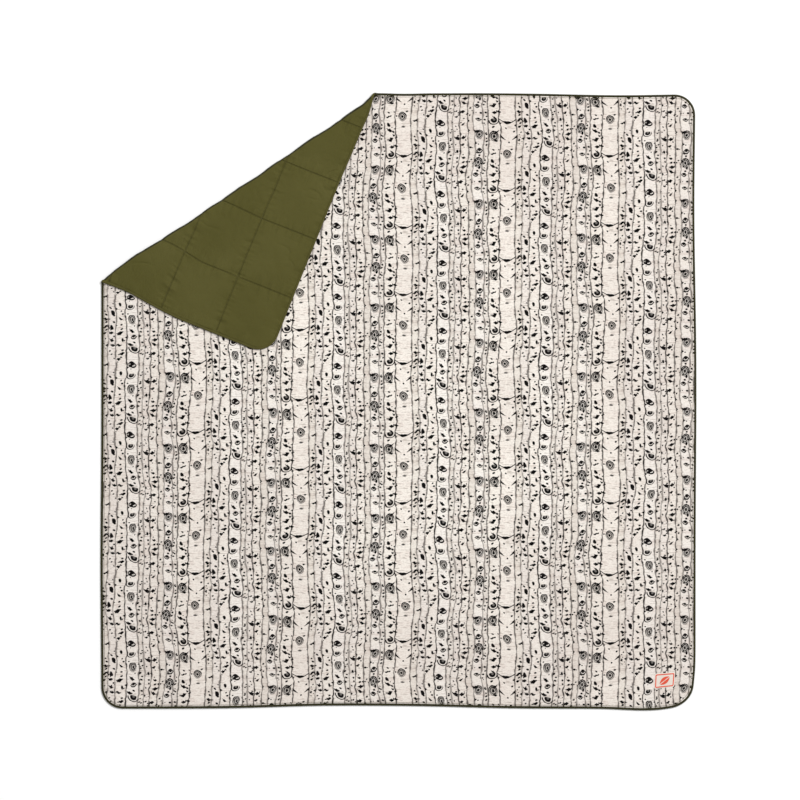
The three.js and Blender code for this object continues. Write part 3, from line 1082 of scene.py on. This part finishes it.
def plain_cloth(name, colour, dark, pitch, depth, roughness):
    """Woven or sewn cloth of one colour, darker between its threads."""
    cloth = Surface(name)
    fine = weave(cloth, pitch)
    tone = cloth.noise(cloth.x * 25, cloth.y * 25, cloth.z * 25, 3.0)
    shade = cloth.mix(fine.ramp(0.0, 1.0, 0.5, 0.0), colour, dark)
    shade = cloth.mix(tone.ramp(0.45, 0.8, 0.0, 0.4), shade, dark)
    return cloth.finish(shade, fine * 0.6 + tone * 0.4, depth, roughness, sheen=0.1)


def turned_tape():
    """The binding: ribbed olive tape, darker on the printed side, where the darkness is painted shade
    of the blanket's edge.
    """
    cloth = Surface("binding_tape")
    ribs = weave(cloth, 0.0009)
    tone = cloth.noise(cloth.x * 25, cloth.y * 25, cloth.z * 25, 3.0)
    # Painted shade: the half of the tape on the printed face's side is darker.
    painted_shade_side = cloth.z.ramp(BINDING_LOW - 0.002, BINDING_LOW + 0.003)
    colour = cloth.mix(painted_shade_side, OLIVE, TAPE_IN_PAINTED_SHADE)
    colour = cloth.mix(ribs.ramp(0.0, 1.0, 0.25, 0.0), colour, TAPE_DARK)
    colour = cloth.mix(tone.ramp(0.45, 0.8, 0.0, 0.25), colour, TAPE_DARK)
    relief = ribs * 0.6 + tone * 0.4
    return cloth.finish(colour, relief, depth=0.0004, roughness=0.6, sheen=0.05)


def dashed_thread(name, stitch):
    """A sewn line: the thread shows for most of each stitch, and dips into the cloth."""
    cloth = Surface(name)
    along = cloth.x + cloth.y
    phase = (along / stitch).math("FRACT") - 0.5
    shows = phase.math("ABSOLUTE").ramp(0.34, 0.44, 1.0, 0.0)
    twist = ((along * 2 + cloth.z * 3) * (math.pi / 0.0006)).math("SINE") * 0.5 + 0.5
    shade = cloth.mix(shows, OLIVE_DARK, OLIVE)
    shade = cloth.mix(twist * 0.3, shade, OLIVE_DARK)
    relief = shows * 0.7 + twist * 0.3
    return cloth.finish(shade, relief, depth=0.0003, roughness=0.5, sheen=0.1)


def lofted_fibre():
    cloth = Surface("polyester_fibre")
    fibres = cloth.noise(cloth.x * 400, cloth.y * 60, cloth.z * 200, 4.0)
    tufts = cloth.noise(cloth.x * 30, cloth.y * 30, 0.0, 3.0)
    colour = cloth.mix(fibres.ramp(0.3, 0.7), (0.78, 0.78, 0.75), (0.90, 0.90, 0.88))
    relief = fibres * 0.5 + tufts * 0.5
    return cloth.finish(colour, relief, depth=0.003, roughness=0.95, sheen=0.2)


SALMON = (0.80, 0.105, 0.055)
SALMON_DARK = (0.55, 0.06, 0.03)
LABEL_CREAM = (0.79, 0.72, 0.64)
LABEL_SHADE = (0.6, 0.52, 0.45)

label_weave = plain_cloth(
    "label_weave", LABEL_CREAM, LABEL_SHADE, pitch=0.0008, depth=0.0002, roughness=0.8
)
sewn_salmon = plain_cloth(
    "embroidery", SALMON, SALMON_DARK, pitch=0.0011, depth=0.0005, roughness=0.5
)
looks = {
    face: birch_print(),
    backing: quilted_olive(),
    batting: lofted_fibre(),
    binding: turned_tape(),
    binding_stitch: dashed_thread("edge_thread", stitch=0.0035),
    quilting: dashed_thread("quilting_thread", stitch=0.0040),
    label: label_weave,
    embroidery: sewn_salmon,
}

for piece, look in looks.items():
    piece.data.materials.append(look)
    finish_piece(piece)

# ---------------------------------------------------------------------------------------
# Each piece's transform is applied to its mesh, the label goes with the blanket's body, and the CAD
# parts are hidden.


def nodes_like(*starts):
    return [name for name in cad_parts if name.startswith(starts)]


CROSSING = {
    # piece: (lowest, highest) height of the cloth that turns between the two bodies
    face: (THICKNESS + 0.00003, THICKNESS + 0.00027),
    backing: (0.0060, 2 * HINGE_HEIGHT - 0.0060),
    batting: (THICKNESS - 0.0008, THICKNESS + 0.0011),
    binding: (THICKNESS - 0.0016, THICKNESS + 0.0002),
    binding_stitch: (THICKNESS + 0.00003, THICKNESS + 0.00027),
    quilting: (0.0060, 2 * HINGE_HEIGHT - 0.0060),
}
for piece, (low, high) in CROSSING.items():
    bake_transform(piece)
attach(label, "blanket")
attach(embroidery, "blanket")

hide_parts("face_panel", "flap_face_panel", "face_bend")
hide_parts("batting_panel", "flap_batting_panel", "batting_bend")
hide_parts("backing_panel", "flap_backing_panel", "backing_bend")
binding_nodes = nodes_like("binding_", "flap_binding_")
stitch_nodes = [name for name in binding_nodes if name.endswith("stitch")]
tape_nodes = [name for name in binding_nodes if name not in stitch_nodes]
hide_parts(*tape_nodes)
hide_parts(*stitch_nodes)
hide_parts(*nodes_like("quilt_", "flap_quilt_"))
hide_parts("woven_label")
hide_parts("label_stitch")

# ---------------------------------------------------------------------------------------
# Floor, light and picture.

FLOOR_SIZE = 60
FLOOR_HEIGHT = -0.0005  # just under the blanket
PAPER = (0.98, 0.98, 0.98)
KEY_PLACE = (5.4, 5.6, 12.0)  # it points at the blanket's middle
KEY_SIZE = 4.0
KEY_POWER = 1480
WORLD_STRENGTH = 0.55

bpy.ops.mesh.primitive_plane_add(size=FLOOR_SIZE)
floor = bpy.context.object
floor.name = "floor"
floor.location.z = FLOOR_HEIGHT
paper = bpy.data.materials.new("paper")
paper.use_nodes = True
paper_shader = paper.node_tree.nodes["Principled BSDF"]
paper_shader.inputs["Base Color"].default_value = (*PAPER, 1)
paper_shader.inputs["Roughness"].default_value = 1.0
paper_shader.inputs["Specular IOR Level"].default_value = 0.0
floor.data.materials.append(paper)

light = bpy.data.lights.new("key", "AREA")
light.size = KEY_SIZE
light.energy = KEY_POWER
lamp = bpy.data.objects.new("key", light)
lamp.location = KEY_PLACE
lamp.rotation_euler = mathutils.Vector(KEY_PLACE).to_track_quat("Z", "Y").to_euler()
bpy.context.collection.objects.link(lamp)

world = bpy.data.worlds.new("studio")
world.use_nodes = True
world.node_tree.nodes["Background"].inputs["Color"].default_value = (1, 1, 1, 1)
world.node_tree.nodes["Background"].inputs["Strength"].default_value = WORLD_STRENGTH
bpy.context.scene.world = world
bpy.context.scene.view_settings.view_transform = "Standard"
